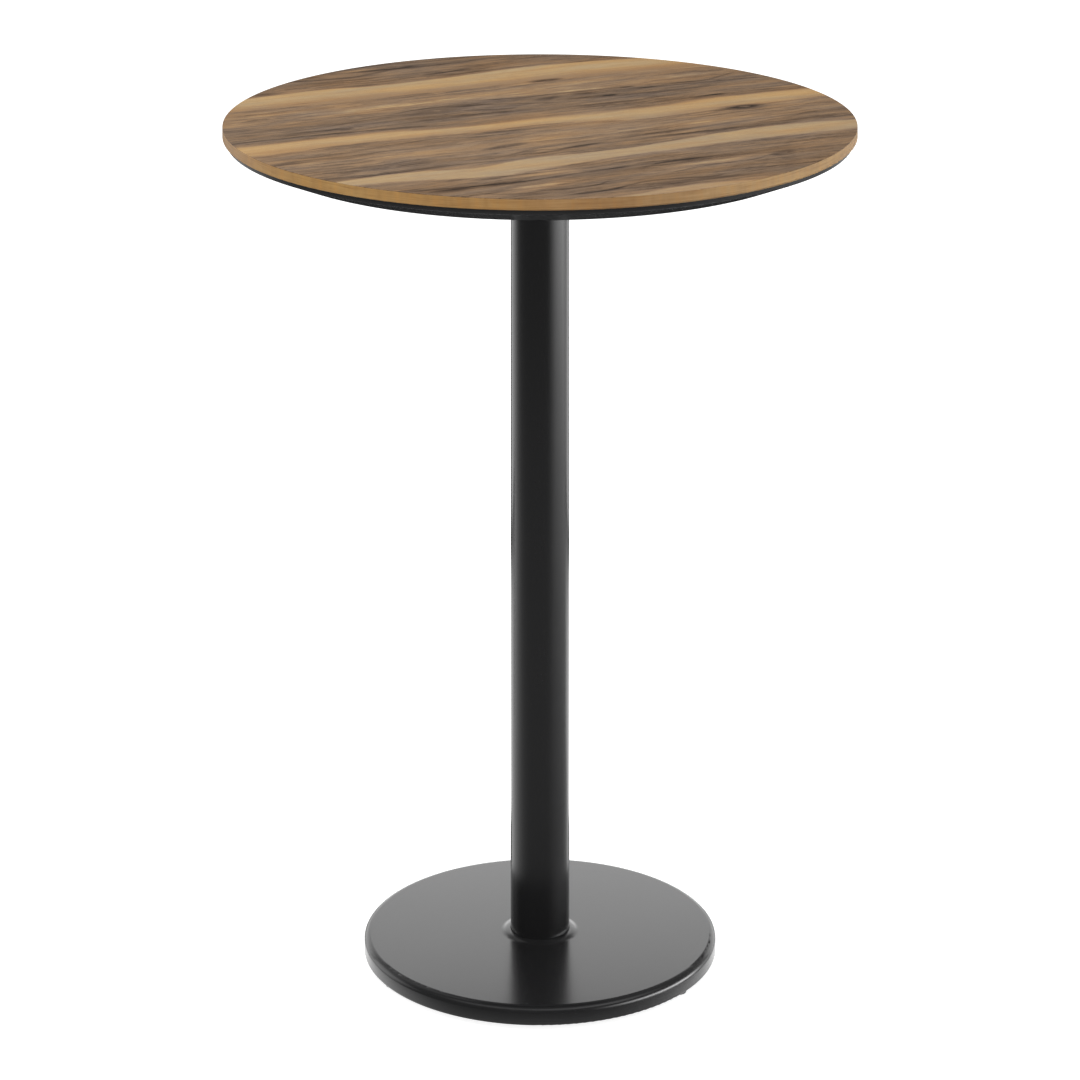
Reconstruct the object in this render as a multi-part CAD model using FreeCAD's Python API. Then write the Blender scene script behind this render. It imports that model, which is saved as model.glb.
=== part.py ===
import FreeCAD, Part
import math
import os

# Pub table: a round board top on a steel column, with a weighted disc base and three levelling feet.
# Millimetres, +Z up. The origin is on the floor, on the column's axis; the back of the table is +Y.

Vector = FreeCAD.Vector

# ---------------------------------------------------------------- driving dimensions
# Whole table
TABLE_HEIGHT = 1050.0        # floor to the top surface, feet fully screwed in

# Round top: a core board in an edge band, a decor laminate over both, a shaped board below
TOP_DIA = 800.0
EDGE_HEIGHT = 14.0           # height of the edge: the band and the laminate that covers it
BAND_THICK = 3.0
BAND_LOWER_ROUND = 1.8
BAND_GLUE_LINE = 0.1         # radial room for glue between the boards and the band
LAMINATE_THICK = 0.8
LAMINATE_ROUND = 0.4
UNDER_SETBACK = 5.0          # how far the lower board's upright edge stands back from the top's edge
UNDER_THICK = 23.0
UNDER_LIP = 6.0              # height of the lower board's upright edge, above its long bevel
UNDER_BEVEL_RUN = 43.0       # how far the bevel runs inwards
UNDER_ROUND = 1.5

# Spider: the four-armed casting that carries the top on the column
SPIDER_HUB_DIA = 100.0
SPIDER_HUB_THICK = 8.0
SPIDER_SPIGOT_LENGTH = 22.0
SPIDER_SPIGOT_WALL = 7.0
SPIDER_WEB_THICK = 10.0      # solid bottom of the hub, under the nut's pocket
SPIDER_ARMS = 4
SPIDER_ARM_REACH = 165.0     # axis to the centre of an arm's round end
SPIDER_ARM_ROOT = 48.0
SPIDER_ARM_TIP = 32.0
SPIDER_ARM_THICK = 6.0
SPIDER_RIB_WIDTH = 6.0
SPIDER_RIB_DEPTH = 12.0
SPIDER_RIB_GAP = 1.0         # between the rib and the column
SCREW_SPACING = 40.0         # between an arm's two screws; the outer one is at the centre of its round end
RIB_SCREW_GAP = 23.0         # from the rib's tip to the axis of the inner screw

# Spider screws (M6 pan head with a hexagon socket) and the inserts they go into
SCREW_DIA = 6.0
SCREW_ENGAGEMENT = 12.0
SCREW_HEAD_DIA = 12.0
SCREW_HEAD_HEIGHT = 3.6
SCREW_SOCKET_FLATS = 4.0
SCREW_SOCKET_DEPTH = 2.2
SCREW_HOLE_ROOM = 0.4        # radial clearance of the arm's hole round the screw
INSERT_DIA = 9.0
INSERT_LENGTH = 14.0
INSERT_HOLE_SPARE = 1.5      # depth of the board's hole above the insert

# Column and tie rod
COLUMN_DIA = 74.0
COLUMN_WALL = 2.0
ROD_DIA = 10.0
ROD_HOLE_ROOM = 0.4
ROD_END_SPARE = 1.0          # how far the rod's ends stop short of the surface they must not pass
NUT_FLATS = 16.0
NUT_HEIGHT = 8.0
NUT_POCKET_ROOM = 0.3
NUT_POCKET_SPARE = 2.0       # depth of the pocket above the nut
CLAMP_WASHER_DIA = 60.0
CLAMP_WASHER_THICK = 3.0
SPRING_WASHER_DIA = 18.0
SPRING_WASHER_THICK = 2.2
SPRING_WASHER_SLIT = 2.0

# Base: a spun steel cover over a cast ballast disc
FOOT_HEIGHT = 7.0            # floor to the base's lower edge
BASE_DIA = 443.0
BASE_HEIGHT = 22.6
BASE_UPPER_ROUND = 8.0
BASE_LOWER_ROUND = 3.0
COVER_THICK = 1.5
COVER_FLANGE = 7.5           # width of the lower edge, which is spun inwards under the ballast
NECK_WIDTH = 9.5             # raised neck round the column, from its bore to the flat
NECK_RISE = 2.8
NECK_SLOPE_DEG = 25.0
NECK_FOOT_ROUND = 10.0
NECK_CREST_ROUND = 15.5
NECK_BORE_GAP = 0.5
BALLAST_GAP = 0.3
BALLAST_RECESS_DIA = 68.0    # recess under the ballast, for the clamping nut and its washers
BALLAST_WEB = 6.3            # what is left of the ballast above that recess
BUSH_BOSS_DIA = 30.0         # centring bush: its boss in the ballast
BUSH_DISC_THICK = 8.0        # centring bush: its disc in the column

# Levelling feet, evenly spaced from the first one's angle
FOOT_NAMES = ("front_right", "back", "front_left")
FOOT_FIRST_DEG = -33.0
FOOT_FLANGE_GAP = 3.6        # between the cover's turned-in edge and the sleeve
FOOT_STUD_DIA = 8.0
FOOT_SLEEVE_DIA = 16.0
FOOT_SLEEVE_LENGTH = 16.0
FOOT_HEX_FLATS = 13.0
FOOT_HEX_GAP = 0.3           # between the hexagon and the sleeve when the foot is fully screwed in
FOOT_PAD_DIA = 22.0
FOOT_PAD_HEIGHT = 4.8
FOOT_PAD_ROUND = 1.2
FOOT_PAD_SOLE = 1.2
FOOT_PAD_GAP = 0.4           # between the pad and the hexagon above it
FOOT_HEAD_DIA = 10.0         # the stud's head, which the pad snaps over
FOOT_HEAD_HEIGHT = 2.4
FOOT_NECK_DIA = 6.0
FOOT_HEAD_FLOAT = 0.1        # room above and below the head

# Fits, as radial clearances
THREAD_ROOM = 0.05           # a plain cylinder stands for each thread
SEAT_ROOM = 0.1              # spigot or disc in the column, boss in the ballast
PRESS_ROOM = 0.02            # inserts and sleeves in their holes
SWIVEL_ROOM = 0.06           # stud's head and neck in the pad

# ---------------------------------------------------------------- sizes that follow
TOP_R = TOP_DIA / 2
BAND_IN_R = TOP_R - BAND_THICK + BAND_GLUE_LINE
BOARD_R = TOP_R - BAND_THICK
BAND_BOTTOM_Z = TABLE_HEIGHT - EDGE_HEIGHT
BAND_TOP_Z = TABLE_HEIGHT - LAMINATE_THICK
UNDER_Z = BAND_BOTTOM_Z - UNDER_THICK
UNDER_R = TOP_R - UNDER_SETBACK

COLUMN_R = COLUMN_DIA / 2
COLUMN_IN_R = COLUMN_R - COLUMN_WALL
ROD_R = ROD_DIA / 2
HUB_BOTTOM_Z = UNDER_Z - SPIDER_HUB_THICK
ARM_BOTTOM_Z = UNDER_Z - SPIDER_ARM_THICK
POCKET_FLOOR_Z = UNDER_Z - NUT_HEIGHT - NUT_POCKET_SPARE
SCREW_CIRCLES = (SPIDER_ARM_REACH - SCREW_SPACING, SPIDER_ARM_REACH)
RIB_TIP_R = SCREW_CIRCLES[0] - RIB_SCREW_GAP

BASE_R = BASE_DIA / 2
BASE_TOP_Z = FOOT_HEIGHT + BASE_HEIGHT
COVER_BORE_R = COLUMN_R + NECK_BORE_GAP
BALLAST_R = BASE_R - COVER_THICK - BALLAST_GAP
BALLAST_BOTTOM_Z = FOOT_HEIGHT + COVER_THICK
BALLAST_TOP_Z = BASE_TOP_Z - COVER_THICK - BALLAST_GAP
RECESS_TOP_Z = BALLAST_TOP_Z - BALLAST_WEB
FOOT_CIRCLE_R = BASE_R - COVER_FLANGE - FOOT_FLANGE_GAP - FOOT_SLEEVE_DIA / 2

CLAMP_WASHER_Z = RECESS_TOP_Z - CLAMP_WASHER_THICK
SPRING_WASHER_Z = CLAMP_WASHER_Z - SPRING_WASHER_THICK
LOWER_NUT_Z = SPRING_WASHER_Z - NUT_HEIGHT

SLEEVE_HOLE_TOP_Z = BALLAST_BOTTOM_Z + FOOT_SLEEVE_LENGTH + ROD_END_SPARE
HEX_TOP_Z = BALLAST_BOTTOM_Z - FOOT_HEX_GAP
HEX_BOTTOM_Z = FOOT_PAD_HEIGHT + FOOT_PAD_GAP
HEAD_BOTTOM_Z = FOOT_PAD_SOLE + FOOT_HEAD_FLOAT
HEAD_TOP_Z = HEAD_BOTTOM_Z + FOOT_HEAD_HEIGHT


# ---------------------------------------------------------------- shape helpers
def corner_reach(before, corner, after, radius):
    """How far from the corner a round of this radius starts."""
    first = (corner - before).normalize()
    second = (after - corner).normalize()
    turn = math.acos(max(-1.0, min(1.0, first.dot(second))))
    return radius * math.tan(turn / 2)


def rounded_wire(corners):
    """A closed wire through (radius, height, corner round) triples, in the XZ plane.

    A round that is too large for its two edges is limited to what they leave.
    """
    points = [Vector(r, 0, z) for r, z, _ in corners]
    count = len(points)
    reach = [corner_reach(points[i - 1], points[i], points[(i + 1) % count], corners[i][2])
             for i in range(count)]
    limit = [1.0] * count
    for i in range(count):
        after = (i + 1) % count
        needed = reach[i] + reach[after]
        room = (points[after] - points[i]).Length * 0.999
        if needed > room:
            limit[i] = min(limit[i], room / needed)
            limit[after] = min(limit[after], room / needed)
    edges = []
    ends = []
    for i in range(count):
        corner, before, after = points[i], points[i - 1], points[(i + 1) % count]
        size = reach[i] * limit[i]
        back = (before - corner).normalize()
        ahead = (after - corner).normalize()
        start, end = corner + back * size, corner + ahead * size
        if size > 1e-6:
            half = math.acos(max(-1.0, min(1.0, back.dot(ahead)))) / 2
            bisector = (back + ahead).normalize()
            middle = corner + bisector * (size / math.cos(half) - size * math.tan(half))
            edges.append((i, Part.Arc(start, middle, end).toShape()))
        ends.append((start, end))
    for i in range(count):
        line_start, line_end = ends[i][1], ends[(i + 1) % count][0]
        if (line_end - line_start).Length > 1e-6:
            edges.append((i + 0.5, Part.makeLine(line_start, line_end)))
    edges.sort(key=lambda item: item[0])
    return Part.Wire([edge for _, edge in edges])


def turned(corners):
    """The solid of revolution of a rounded outline about the column's axis."""
    face = Part.Face(rounded_wire(corners))
    return face.revolve(Vector(0, 0, 0), Vector(0, 0, 1), 360)


def cylinder(radius, z_low, z_high, x=0.0, y=0.0):
    return Part.makeCylinder(radius, z_high - z_low, Vector(x, y, z_low))


def ring(outer, inner, z_low, z_high, x=0.0, y=0.0):
    return cylinder(outer, z_low, z_high, x, y).cut(cylinder(inner, z_low, z_high, x, y))


def hexagon(flats, z_low, z_high, x=0.0, y=0.0):
    """An upright hexagonal prism, with two corners on the X axis."""
    radius = flats / math.sqrt(3)
    points = [Vector(x + radius * math.cos(math.radians(60 * i)),
                     y + radius * math.sin(math.radians(60 * i)), z_low) for i in range(7)]
    return Part.Face(Part.makePolygon(points)).extrude(Vector(0, 0, z_high - z_low))


def nut(z_low, bore_radius):
    """A hexagon nut on the axis, with its corners turned off at both faces."""
    chamfer = NUT_FLATS * 0.08
    corner_radius = NUT_FLATS / math.sqrt(3)
    z_high = z_low + NUT_HEIGHT
    slant = chamfer * 0.58
    envelope = turned([(0, z_low, 0), (corner_radius - chamfer, z_low, 0), (corner_radius, z_low + slant, 0),
                       (corner_radius, z_high - slant, 0), (corner_radius - chamfer, z_high, 0),
                       (0, z_high, 0)])
    body = hexagon(NUT_FLATS, z_low, z_high).common(envelope)
    return body.cut(cylinder(bore_radius, z_low, z_high))


def on_circle(radius, degrees):
    return radius * math.cos(math.radians(degrees)), radius * math.sin(math.radians(degrees))


def screw_places():
    """Where the spider's screws go: the same circles on every arm."""
    for arm in range(SPIDER_ARMS):
        for radius in SCREW_CIRCLES:
            yield on_circle(radius, 360.0 / SPIDER_ARMS * (arm + 0.5))


def foot_place(index):
    return on_circle(FOOT_CIRCLE_R, FOOT_FIRST_DEG + 360.0 / len(FOOT_NAMES) * index)


# ---------------------------------------------------------------- round top
def laminate_sheet():
    return turned([(0, BAND_TOP_Z, 0), (TOP_R, BAND_TOP_Z, 0), (TOP_R, TABLE_HEIGHT, LAMINATE_ROUND),
                   (0, TABLE_HEIGHT, 0)])


def core_board():
    return cylinder(BOARD_R, BAND_BOTTOM_Z, BAND_TOP_Z)


def edge_band():
    return turned([(BAND_IN_R, BAND_BOTTOM_Z, 0), (TOP_R, BAND_BOTTOM_Z, BAND_LOWER_ROUND),
                   (TOP_R, BAND_TOP_Z, 0), (BAND_IN_R, BAND_TOP_Z, 0)])


def underside_board():
    board = turned([(0, UNDER_Z, 0), (UNDER_R - UNDER_BEVEL_RUN, UNDER_Z, UNDER_ROUND),
                    (UNDER_R, BAND_BOTTOM_Z - UNDER_LIP, UNDER_ROUND), (UNDER_R, BAND_BOTTOM_Z, 0),
                    (0, BAND_BOTTOM_Z, 0)])
    for x, y in screw_places():
        board = board.cut(cylinder(INSERT_DIA / 2 + PRESS_ROOM, UNDER_Z,
                                   UNDER_Z + INSERT_LENGTH + INSERT_HOLE_SPARE, x, y))
    return board


def threaded_inserts():
    return Part.makeCompound([ring(INSERT_DIA / 2, SCREW_DIA / 2 + THREAD_ROOM,
                                   UNDER_Z, UNDER_Z + INSERT_LENGTH, x, y) for x, y in screw_places()])


# ---------------------------------------------------------------- spider
def spider_arm(degrees):
    """One tapered arm with a round end and a rib under its root, turned to its place."""
    root, tip = SPIDER_ARM_ROOT / 2, SPIDER_ARM_TIP / 2
    outline = Part.makePolygon([Vector(0, -root, ARM_BOTTOM_Z), Vector(SPIDER_ARM_REACH, -tip, ARM_BOTTOM_Z),
                                Vector(SPIDER_ARM_REACH, tip, ARM_BOTTOM_Z), Vector(0, root, ARM_BOTTOM_Z),
                                Vector(0, -root, ARM_BOTTOM_Z)])
    plate = Part.Face(outline).extrude(Vector(0, 0, SPIDER_ARM_THICK))
    plate = plate.fuse(cylinder(tip, ARM_BOTTOM_Z, UNDER_Z, SPIDER_ARM_REACH, 0))
    side = -SPIDER_RIB_WIDTH / 2
    root_r = COLUMN_R + SPIDER_RIB_GAP
    rib_outline = Part.makePolygon([Vector(root_r, side, ARM_BOTTOM_Z), Vector(RIB_TIP_R, side, ARM_BOTTOM_Z),
                                    Vector(root_r, side, ARM_BOTTOM_Z - SPIDER_RIB_DEPTH),
                                    Vector(root_r, side, ARM_BOTTOM_Z)])
    rib = Part.Face(rib_outline).extrude(Vector(0, SPIDER_RIB_WIDTH, 0))
    arm = plate.fuse(rib)
    arm.rotate(Vector(0, 0, 0), Vector(0, 0, 1), degrees)
    return arm


def top_spider():
    spider = cylinder(SPIDER_HUB_DIA / 2, HUB_BOTTOM_Z, UNDER_Z)
    for arm in range(SPIDER_ARMS):
        spider = spider.fuse(spider_arm(360.0 / SPIDER_ARMS * (arm + 0.5)))
    spigot_r = COLUMN_IN_R - SEAT_ROOM
    spigot_bottom = HUB_BOTTOM_Z - SPIDER_SPIGOT_LENGTH
    spider = spider.fuse(cylinder(spigot_r, spigot_bottom, HUB_BOTTOM_Z))
    spider = spider.cut(cylinder(spigot_r - SPIDER_SPIGOT_WALL, spigot_bottom,
                                 POCKET_FLOOR_Z - SPIDER_WEB_THICK))
    spider = spider.cut(hexagon(NUT_FLATS + 2 * NUT_POCKET_ROOM, POCKET_FLOOR_Z, UNDER_Z))
    spider = spider.cut(cylinder(ROD_R + ROD_HOLE_ROOM, spigot_bottom, UNDER_Z))
    for x, y in screw_places():
        spider = spider.cut(cylinder(SCREW_DIA / 2 + SCREW_HOLE_ROOM, ARM_BOTTOM_Z, UNDER_Z, x, y))
    return spider.removeSplitter()


def spider_screw(x, y):
    head_bottom = ARM_BOTTOM_Z - SCREW_HEAD_HEIGHT
    head = cylinder(SCREW_HEAD_DIA / 2, head_bottom, ARM_BOTTOM_Z, x, y)
    lower_edge = [edge for edge in head.Edges if abs(edge.BoundBox.ZMax - head_bottom) < 1e-6]
    head = head.makeFillet(SCREW_HEAD_HEIGHT * 0.45, lower_edge)
    head = head.cut(hexagon(SCREW_SOCKET_FLATS, head_bottom, head_bottom + SCREW_SOCKET_DEPTH, x, y))
    return head.fuse(cylinder(SCREW_DIA / 2, ARM_BOTTOM_Z, UNDER_Z + SCREW_ENGAGEMENT, x, y)).removeSplitter()


def spider_screws():
    return Part.makeCompound([spider_screw(x, y) for x, y in screw_places()])


# ---------------------------------------------------------------- column and tie rod
def column_tube():
    return ring(COLUMN_R, COLUMN_IN_R, BALLAST_TOP_Z, HUB_BOTTOM_Z)


def tie_rod():
    return cylinder(ROD_R, FOOT_HEIGHT + ROD_END_SPARE, UNDER_Z - ROD_END_SPARE)


def rod_upper_nut():
    return nut(POCKET_FLOOR_Z, ROD_R + THREAD_ROOM)


def rod_lower_nut():
    return nut(LOWER_NUT_Z, ROD_R + THREAD_ROOM)


def clamp_washer():
    return ring(CLAMP_WASHER_DIA / 2, ROD_R + ROD_HOLE_ROOM, CLAMP_WASHER_Z, RECESS_TOP_Z)


def spring_washer():
    washer = ring(SPRING_WASHER_DIA / 2, ROD_R + ROD_HOLE_ROOM, SPRING_WASHER_Z, CLAMP_WASHER_Z)
    slit = Part.makeBox(SPRING_WASHER_DIA, SPRING_WASHER_SLIT, SPRING_WASHER_THICK,
                        Vector(0, -SPRING_WASHER_SLIT / 2, SPRING_WASHER_Z))
    return washer.cut(slit)


def centring_bush():
    """Sits in the column's lower end and in the ballast's middle, and keeps both round the tie rod."""
    disc = cylinder(COLUMN_IN_R - SEAT_ROOM, BALLAST_TOP_Z, BALLAST_TOP_Z + BUSH_DISC_THICK)
    boss = cylinder(BUSH_BOSS_DIA / 2 - SEAT_ROOM, RECESS_TOP_Z, BALLAST_TOP_Z)
    bore = cylinder(ROD_R + ROD_HOLE_ROOM, RECESS_TOP_Z, BALLAST_TOP_Z + BUSH_DISC_THICK)
    return disc.fuse(boss).cut(bore).removeSplitter()


# ---------------------------------------------------------------- base
def base_cover():
    """Spun shell with a raised neck, a rounded rim and a lower edge turned in under the ballast."""
    slope = math.radians(NECK_SLOPE_DEG)
    foot_r = COVER_BORE_R + NECK_WIDTH
    crest_r = foot_r - NECK_RISE / math.tan(slope)
    crest_z = BASE_TOP_Z + NECK_RISE
    shift = COVER_THICK * math.tan(slope / 2)
    inner_r, inner_z = BASE_R - COVER_THICK, BASE_TOP_Z - COVER_THICK
    shell = turned([
        (0, crest_z, 0), (crest_r, crest_z, NECK_CREST_ROUND), (foot_r, BASE_TOP_Z, NECK_FOOT_ROUND),
        (BASE_R, BASE_TOP_Z, BASE_UPPER_ROUND), (BASE_R, FOOT_HEIGHT, BASE_LOWER_ROUND),
        (BASE_R - COVER_FLANGE, FOOT_HEIGHT, 0), (BASE_R - COVER_FLANGE, BALLAST_BOTTOM_Z, 0),
        (inner_r, BALLAST_BOTTOM_Z, max(0.0, BASE_LOWER_ROUND - COVER_THICK)),
        (inner_r, inner_z, max(0.0, BASE_UPPER_ROUND - COVER_THICK)),
        (foot_r - shift, inner_z, NECK_FOOT_ROUND + COVER_THICK),
        (crest_r - shift, crest_z - COVER_THICK, max(0.0, NECK_CREST_ROUND - COVER_THICK)),
        (0, crest_z - COVER_THICK, 0)])
    return shell.cut(cylinder(COVER_BORE_R, BASE_TOP_Z - COVER_THICK, crest_z))


def ballast_disc():
    disc = turned([(0, BALLAST_BOTTOM_Z, 0), (BALLAST_R, BALLAST_BOTTOM_Z, BASE_LOWER_ROUND),
                   (BALLAST_R, BALLAST_TOP_Z, BASE_UPPER_ROUND), (0, BALLAST_TOP_Z, 0)])
    disc = disc.cut(cylinder(BALLAST_RECESS_DIA / 2, BALLAST_BOTTOM_Z, RECESS_TOP_Z))
    disc = disc.cut(cylinder(BUSH_BOSS_DIA / 2, RECESS_TOP_Z, BALLAST_TOP_Z))
    for index in range(len(FOOT_NAMES)):
        x, y = foot_place(index)
        disc = disc.cut(cylinder(FOOT_SLEEVE_DIA / 2 + PRESS_ROOM, BALLAST_BOTTOM_Z, SLEEVE_HOLE_TOP_Z, x, y))
    return disc


# ---------------------------------------------------------------- levelling feet
def foot_sleeves():
    """Threaded sleeves in the ballast, one for each foot."""
    places = [foot_place(index) for index in range(len(FOOT_NAMES))]
    return Part.makeCompound([ring(FOOT_SLEEVE_DIA / 2, FOOT_STUD_DIA / 2 + THREAD_ROOM, BALLAST_BOTTOM_Z,
                                   BALLAST_BOTTOM_Z + FOOT_SLEEVE_LENGTH, x, y) for x, y in places])


def foot_stud(index):
    x, y = foot_place(index)
    head = cylinder(FOOT_HEAD_DIA / 2, HEAD_BOTTOM_Z, HEAD_TOP_Z, x, y)
    neck = cylinder(FOOT_NECK_DIA / 2, HEAD_TOP_Z, HEX_BOTTOM_Z, x, y)
    hexagon_part = hexagon(FOOT_HEX_FLATS, HEX_BOTTOM_Z, HEX_TOP_Z, x, y)
    shank = cylinder(FOOT_STUD_DIA / 2, HEX_TOP_Z, BALLAST_BOTTOM_Z + FOOT_SLEEVE_LENGTH, x, y)
    return head.fuse(neck).fuse(hexagon_part).fuse(shank).removeSplitter()


def foot_pad(index):
    """A round pad that the stud's head turns in, closed over the head by a lip."""
    x, y = foot_place(index)
    pad = turned([(0, 0, 0), (FOOT_PAD_DIA / 2, 0, 0.4), (FOOT_PAD_DIA / 2, FOOT_PAD_HEIGHT, FOOT_PAD_ROUND),
                  (0, FOOT_PAD_HEIGHT, 0)])
    socket = cylinder(FOOT_HEAD_DIA / 2 + SWIVEL_ROOM, FOOT_PAD_SOLE, HEAD_TOP_Z + FOOT_HEAD_FLOAT)
    mouth = cylinder(FOOT_NECK_DIA / 2 + SWIVEL_ROOM, FOOT_PAD_SOLE, FOOT_PAD_HEIGHT)
    pad = pad.cut(socket).cut(mouth)
    pad.translate(Vector(x, y, 0))
    return pad


# ---------------------------------------------------------------- the parts
PARTS = {
    "laminate_sheet": laminate_sheet,
    "core_board": core_board,
    "edge_band": edge_band,
    "underside_board": underside_board,
    "threaded_inserts": threaded_inserts,
    "top_spider": top_spider,
    "spider_screws": spider_screws,
    "column_tube": column_tube,
    "tie_rod": tie_rod,
    "rod_upper_nut": rod_upper_nut,
    "rod_lower_nut": rod_lower_nut,
    "clamp_washer": clamp_washer,
    "spring_washer": spring_washer,
    "centring_bush": centring_bush,
    "base_cover": base_cover,
    "ballast_disc": ballast_disc,
    "foot_sleeves": foot_sleeves,
}


def main():
    os.makedirs("parts", exist_ok=True)
    shapes = {name: build() for name, build in PARTS.items()}
    for index, place in enumerate(FOOT_NAMES):
        shapes["foot_stud_" + place] = foot_stud(index)
        shapes["foot_pad_" + place] = foot_pad(index)
    for name, shape in shapes.items():
        shape.exportStep("parts/" + name + ".step")
        print(name, "solids", len(shape.Solids), "volume", round(shape.Volume), "valid", shape.isValid())


main()
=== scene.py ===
import logging
import math
from dataclasses import dataclass
from enum import Enum
from typing import Any, Dict, Optional, Sequence, Tuple, Union

import bpy
from mathutils import Matrix, Vector

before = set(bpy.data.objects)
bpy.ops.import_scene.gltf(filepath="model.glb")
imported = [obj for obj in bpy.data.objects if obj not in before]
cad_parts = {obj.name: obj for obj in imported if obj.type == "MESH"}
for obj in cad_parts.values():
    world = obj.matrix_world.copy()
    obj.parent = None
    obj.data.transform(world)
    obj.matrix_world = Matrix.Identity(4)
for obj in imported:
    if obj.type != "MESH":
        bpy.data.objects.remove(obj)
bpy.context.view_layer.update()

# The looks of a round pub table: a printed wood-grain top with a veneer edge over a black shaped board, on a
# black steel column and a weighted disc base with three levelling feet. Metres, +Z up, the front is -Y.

Colour = Tuple[float, float, float]
Place = Tuple[float, float, float]
Point = Tuple[float, float]
Stops = Sequence[Tuple[float, Colour]]
Number = Union[float, "Value"]
LOG = logging.getLogger("pub_table")
WHITE: Colour = (1.0, 1.0, 1.0)
MM = 1000.0                     # millimetres in a metre
DEGREES = 180.0 / math.pi       # degrees in a radian


def srgb(red: int, green: int, blue: int) -> Colour:
    """Turns a display colour into the linear one that shaders use.

    Args:
        red, green, blue: the display colour, 0 to 255.

    Returns:
        The linear colour, 0 to 1.
    """
    def linear(step: int) -> float:
        """One channel, from display to linear."""
        part = step / 255
        return part / 12.92 if part <= 0.04045 else ((part + 0.055) / 1.055) ** 2.4
    return linear(red), linear(green), linear(blue)


# ---------------------------------------------------------------- shader tools
class Value:
    """A number in a shader: a socket whose Python operators add Math nodes."""

    def __init__(self, graph: "Graph", socket: bpy.types.NodeSocket) -> None:
        """Wraps a socket of the graph's node tree."""
        self.graph = graph
        self.socket = socket

    def __add__(self, other: Number) -> "Value":
        """Sum."""
        return self.graph.math("ADD", self, other)

    def __radd__(self, other: Number) -> "Value":
        """Sum, from the right."""
        return self.graph.math("ADD", other, self)

    def __sub__(self, other: Number) -> "Value":
        """Difference."""
        return self.graph.math("SUBTRACT", self, other)

    def __rsub__(self, other: Number) -> "Value":
        """Difference, from the right."""
        return self.graph.math("SUBTRACT", other, self)

    def __mul__(self, other: Number) -> "Value":
        """Product."""
        return self.graph.math("MULTIPLY", self, other)

    def __rmul__(self, other: Number) -> "Value":
        """Product, from the right."""
        return self.graph.math("MULTIPLY", other, self)

    def __truediv__(self, other: Number) -> "Value":
        """Quotient."""
        return self.graph.math("DIVIDE", self, other)

    def __rtruediv__(self, other: Number) -> "Value":
        """Quotient, from the right."""
        return self.graph.math("DIVIDE", other, self)

    def __pow__(self, other: Number) -> "Value":
        """Power."""
        return self.graph.math("POWER", self, other)

    def __abs__(self) -> "Value":
        """Size without its sign."""
        return self.graph.math("ABSOLUTE", self)

    def smooth(self, low: Number, high: Number) -> "Value":
        """Rises smoothly from 0 at low to 1 at high, and stays flat beyond them."""
        node = self.graph.node("ShaderNodeMapRange", {"interpolation_type": "SMOOTHSTEP"},
                               {"Value": self, "From Min": low, "From Max": high})
        return Value(self.graph, node.outputs[0])

    def most(self, other: Number) -> "Value":
        """The larger of two numbers."""
        return self.graph.math("MAXIMUM", self, other)


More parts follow.
